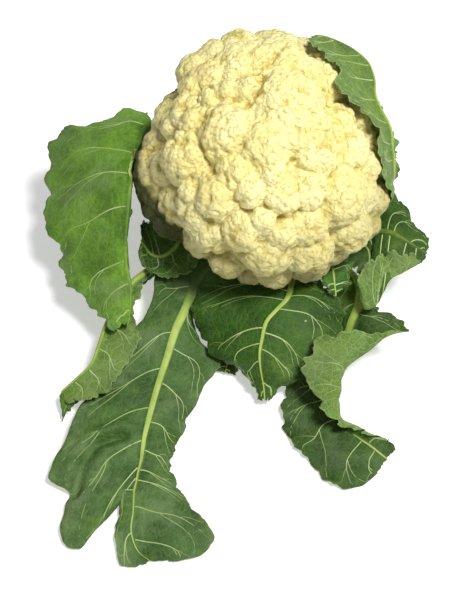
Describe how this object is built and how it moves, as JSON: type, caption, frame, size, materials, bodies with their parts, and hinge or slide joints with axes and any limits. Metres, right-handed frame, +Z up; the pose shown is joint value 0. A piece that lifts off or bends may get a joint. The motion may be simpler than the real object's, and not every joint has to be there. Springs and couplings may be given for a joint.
{
  "type": "cauliflower",
  "caption": "Cauliflower head of packed cream florets on a cut stalk, with broad veined green leaves spread round it.",
  "frame": {"origin": "centre of the stalk's cut face, on the surface it stands on", "axes": "+Z up, -Y toward the front, where the head leans and the longest leaf lies, +X to the right of the front"},
  "size_m": [0.3031, 0.5163, 0.1953],
  "materials": {
    "curd": "matte, granular",
    "stalk": "smooth, slightly waxy",
    "leaf": "satin with a waxy bloom",
    "young_leaf": "satin"
  },
  "bodies": {
    "root": {"curd": "curd", "stalk": "stalk", "leaf_long": "leaf", "leaf_front": "leaf", "leaf_right_low": "leaf", "leaf_right": "leaf", "leaf_left": "leaf", "leaf_left_low": "leaf", "leaf_crown": "leaf", "leaf_left_small": "leaf", "leaf_right_curl": "young_leaf", "leaf_front_low": "leaf", "leaf_back": "leaf", "leaf_back_left": "leaf", "leaf_back_right": "leaf"}
  },
  "joints": []
}
